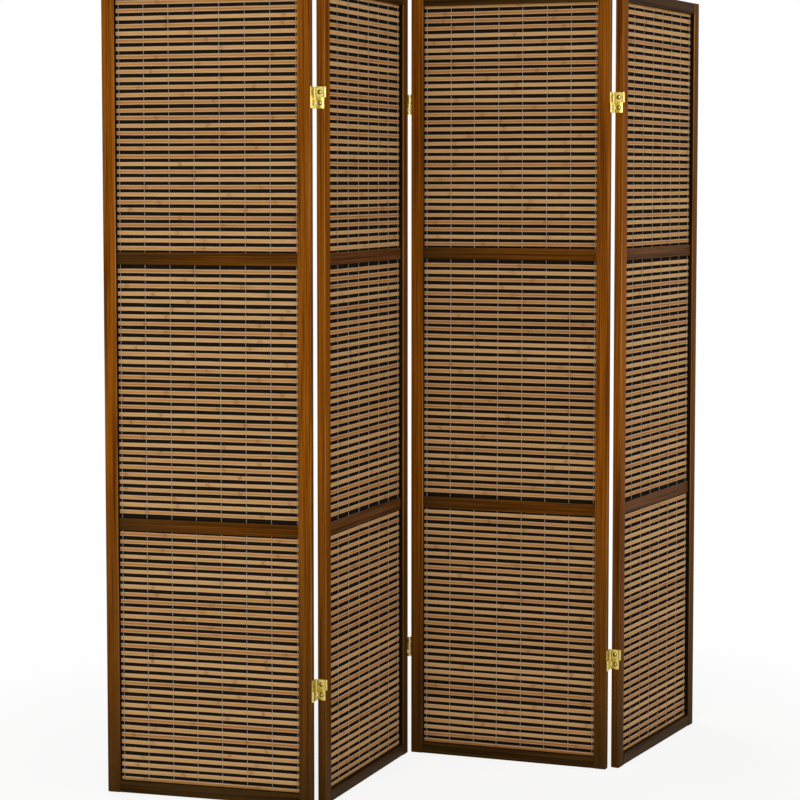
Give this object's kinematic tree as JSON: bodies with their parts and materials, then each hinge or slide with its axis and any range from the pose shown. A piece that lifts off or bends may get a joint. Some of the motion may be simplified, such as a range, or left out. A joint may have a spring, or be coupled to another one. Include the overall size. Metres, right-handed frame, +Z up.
{
  "type": "folding screen",
  "caption": "Zigzag folding room divider: stained wood frames with tied bamboo slats over dark cloth, joined by brass two-way hinges.",
  "frame": {"origin": "on the floor under the middle of the screen's bounding box, with the panels in their zigzag", "axes": "+Z up, the row of panels runs along X from panel_1 to panel_4, the front faces -Y"},
  "size_m": [1.507, 0.3606, 1.785],
  "materials": {
    "frame_wood": "walnut stain under semi-gloss lacquer",
    "bead_wood": "walnut stain under semi-gloss lacquer",
    "dowel_wood": "bare hardwood",
    "bamboo": "split bamboo, natural, satin",
    "warp_thread": "twisted grey cotton",
    "backing_cloth": "plain black cloth",
    "hinge_brass": "polished brass plate"
  },
  "bodies": {
    "panel_1": {"panel_1_left_stile": "frame_wood", "panel_1_right_stile": "frame_wood", "panel_1_top_rail": "frame_wood", "panel_1_bottom_rail": "frame_wood", "panel_1_middle_rails": "frame_wood", "panel_1_back_beads": "bead_wood", "panel_1_bamboo_slats": "bamboo", "panel_1_warp_threads": "warp_thread", "panel_1_backing_cloth": "backing_cloth", "panel_1_dowels": "dowel_wood", "panel_1_hinge_pins": "hinge_brass", "panel_1_hinge_screws": "hinge_brass", "hinge_1_2_left_leaves": "hinge_brass", "hinge_1_2_lower_links": "hinge_brass"},
    "panel_2": {"panel_2_left_stile": "frame_wood", "panel_2_right_stile": "frame_wood", "panel_2_top_rail": "frame_wood", "panel_2_bottom_rail": "frame_wood", "panel_2_middle_rails": "frame_wood", "panel_2_back_beads": "bead_wood", "panel_2_bamboo_slats": "bamboo", "panel_2_warp_threads": "warp_thread", "panel_2_backing_cloth": "backing_cloth", "panel_2_dowels": "dowel_wood", "panel_2_hinge_pins": "hinge_brass", "panel_2_hinge_screws": "hinge_brass", "hinge_1_2_right_leaves": "hinge_brass", "hinge_2_3_left_leaves": "hinge_brass", "hinge_1_2_upper_links": "hinge_brass", "hinge_2_3_upper_links": "hinge_brass"},
    "panel_3": {"panel_3_left_stile": "frame_wood", "panel_3_right_stile": "frame_wood", "panel_3_top_rail": "frame_wood", "panel_3_bottom_rail": "frame_wood", "panel_3_middle_rails": "frame_wood", "panel_3_back_beads": "bead_wood", "panel_3_bamboo_slats": "bamboo", "panel_3_warp_threads": "warp_thread", "panel_3_backing_cloth": "backing_cloth", "panel_3_dowels": "dowel_wood", "panel_3_hinge_pins": "hinge_brass", "panel_3_hinge_screws": "hinge_brass", "hinge_2_3_right_leaves": "hinge_brass", "hinge_3_4_left_leaves": "hinge_brass", "hinge_2_3_lower_links": "hinge_brass", "hinge_3_4_lower_links": "hinge_brass"},
    "panel_4": {"panel_4_left_stile": "frame_wood", "panel_4_right_stile": "frame_wood", "panel_4_top_rail": "frame_wood", "panel_4_bottom_rail": "frame_wood", "panel_4_middle_rails": "frame_wood", "panel_4_back_beads": "bead_wood", "panel_4_bamboo_slats": "bamboo", "panel_4_warp_threads": "warp_thread", "panel_4_backing_cloth": "backing_cloth", "panel_4_dowels": "dowel_wood", "panel_4_hinge_pins": "hinge_brass", "panel_4_hinge_screws": "hinge_brass", "hinge_3_4_right_leaves": "hinge_brass", "hinge_3_4_upper_links": "hinge_brass"}
  },
  "joints": [
    {"name": "fold_1_2", "type": "hinge", "parent": "panel_1", "child": "panel_2", "pos_m": [-0.36658, -0.15879, 0], "axis": [0, 0, 1], "range_deg": [-82.8, 97.2]},
    {"name": "fold_2_3", "type": "hinge", "parent": "panel_2", "child": "panel_3", "pos_m": [-0.00557, 0.15997, 0], "axis": [0, 0, 1], "range_deg": [-92.1, 87.1]},
    {"name": "fold_3_4", "type": "hinge", "parent": "panel_3", "child": "panel_4", "pos_m": [0.36366, -0.14924, 0], "axis": [0, 0, 1], "range_deg": [-80.7, 99.3]}
  ]
}
